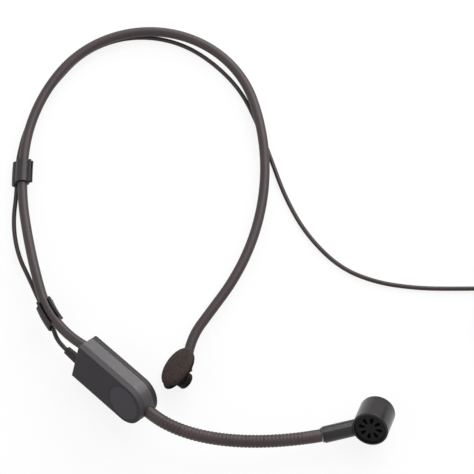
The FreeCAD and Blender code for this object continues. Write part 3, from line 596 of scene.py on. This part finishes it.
def coil_tie():
    """A strap round the coil's bundle, with rounded corners."""
    half_w = CABLE_R * COIL_COLUMNS + TIE_T / 2
    half_h = CABLE_R * COIL_LAYERS + TIE_T / 2
    mid_z = COIL_LIFT + CABLE_R * COIL_LAYERS
    outline = []
    for cx, cz, start in ((1, 1, 0), (-1, 1, 90), (-1, -1, 180), (1, -1, 270)):
        for step in range(CORNER_STEPS + 1):
            angle = math.radians(start + step * 90 / CORNER_STEPS)
            outline.append((cx * (half_w - TIE_CORNER) + TIE_CORNER * math.cos(angle),
                            cz * (half_h - TIE_CORNER) + TIE_CORNER * math.sin(angle)))
    vertices, faces = [], []
    out = Vector((math.cos(TIE_AT), math.sin(TIE_AT), 0))
    along = Vector((-math.sin(TIE_AT), math.cos(TIE_AT), 0))
    centre = Vector((*COIL_CENTRE, mid_z)) + out * COIL_MID_R
    for thick, width in ((0.5, -0.5), (0.5, 0.5), (-0.5, 0.5), (-0.5, -0.5)):
        for x, z in outline:
            normal = Vector((x, z)).normalized() * thick * TIE_T
            point = centre + out * (x + normal.x) + Vector((0, 0, z + normal.y)) + along * (width * TIE_W)
            vertices.append(place(*point))
    count = len(outline)
    for lane in range(4):
        for k in range(count):
            a, b = lane * count + k, lane * count + (k + 1) % count
            c, d = ((lane + 1) % 4) * count + (k + 1) % count, ((lane + 1) % 4) * count + k
            faces.append((a, b, c, d))
    return mesh_piece("coil_strap", vertices, faces, TIE, smooth=False)


tie = coil_tie()
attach(tie, "frame")
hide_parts("coil_tie")

# ---- floor, world and light -----------------------------------------------------------------
FLOOR_SIZE = 4.0
FLOOR_DROP = 0.0002
FLOOR_COLOUR = (0.86, 0.86, 0.86)
FLOOR_WHITE_SHARE = 0.86        # how much of the floor the camera sees as plain white
WORLD_COLOUR = (0.95, 0.96, 1.0)
WORLD_STRENGTH = 0.55
floor = mesh_piece("floor", [Vector((x * FLOOR_SIZE, y * FLOOR_SIZE, -FLOOR_DROP))
                             for x, y in ((-1, -1), (1, -1), (1, 1), (-1, 1))], [(0, 1, 2, 3)],
                   surface("floor_white", FLOOR_COLOUR, 0.9, variation=0.01))


def plain_white(tree, output, shader_socket, share):
    """Camera, mirror and glass rays see plain white, by share; every other ray sees the surface."""
    rays = add(tree, "ShaderNodeLightPath")
    seen = add(tree, "ShaderNodeMath", operation="MAXIMUM")
    tree.links.new(rays.outputs["Is Camera Ray"], seen.inputs[0])
    mirrored = add(tree, "ShaderNodeMath", operation="MAXIMUM")
    tree.links.new(rays.outputs["Is Glossy Ray"], mirrored.inputs[0])
    tree.links.new(rays.outputs["Is Transmission Ray"], mirrored.inputs[1])
    tree.links.new(mirrored.outputs["Value"], seen.inputs[1])
    part = add(tree, "ShaderNodeMath", operation="MULTIPLY")
    part.inputs[1].default_value = share
    tree.links.new(seen.outputs["Value"], part.inputs[0])
    white = add(tree, "ShaderNodeEmission", Color=(1, 1, 1, 1), Strength=1.0)
    mix = add(tree, "ShaderNodeMixShader")
    tree.links.new(part.outputs["Value"], mix.inputs["Fac"])
    tree.links.new(shader_socket, mix.inputs[1])
    tree.links.new(white.outputs["Emission"], mix.inputs[2])
    tree.links.new(mix.outputs["Shader"], output.inputs["Surface"])


floor_tree = floor.data.materials[0].node_tree
plain_white(floor_tree, floor_tree.nodes["Material Output"],
            floor_tree.nodes["Principled BSDF"].outputs["BSDF"], FLOOR_WHITE_SHARE)

world = bpy.data.worlds.new("studio")
bpy.context.scene.world = world
world.use_nodes = True
world_tree = world.node_tree
background = world_tree.nodes["Background"]
background.inputs["Color"].default_value = (*WORLD_COLOUR, 1)
background.inputs["Strength"].default_value = WORLD_STRENGTH
plain_white(world_tree, world_tree.nodes["World Output"], background.outputs["Background"], 1.0)


def area_light(name, position, size, power):
    """A white lamp that faces the row frame's origin."""
    data = bpy.data.lights.new(name, "AREA")
    data.shape = "RECTANGLE"
    data.size, data.size_y = size
    data.energy = power
    lamp = bpy.data.objects.new(name, data)
    lamp.location = position
    lamp.rotation_euler = (-Vector(position)).to_track_quat("-Z", "Y").to_euler()
    bpy.context.scene.collection.objects.link(lamp)


area_light("key", (0.40, 0.50, 0.65), (0.9, 0.9), 8.0)
area_light("strip", (0.05, 0.75, 0.35), (0.9, 0.08), 2.2)
area_light("fill", (-0.55, -0.25, 0.60), (0.8, 0.6), 1.2)

bpy.context.scene.view_settings.view_transform = "Standard"

bpy.context.view_layer.update()
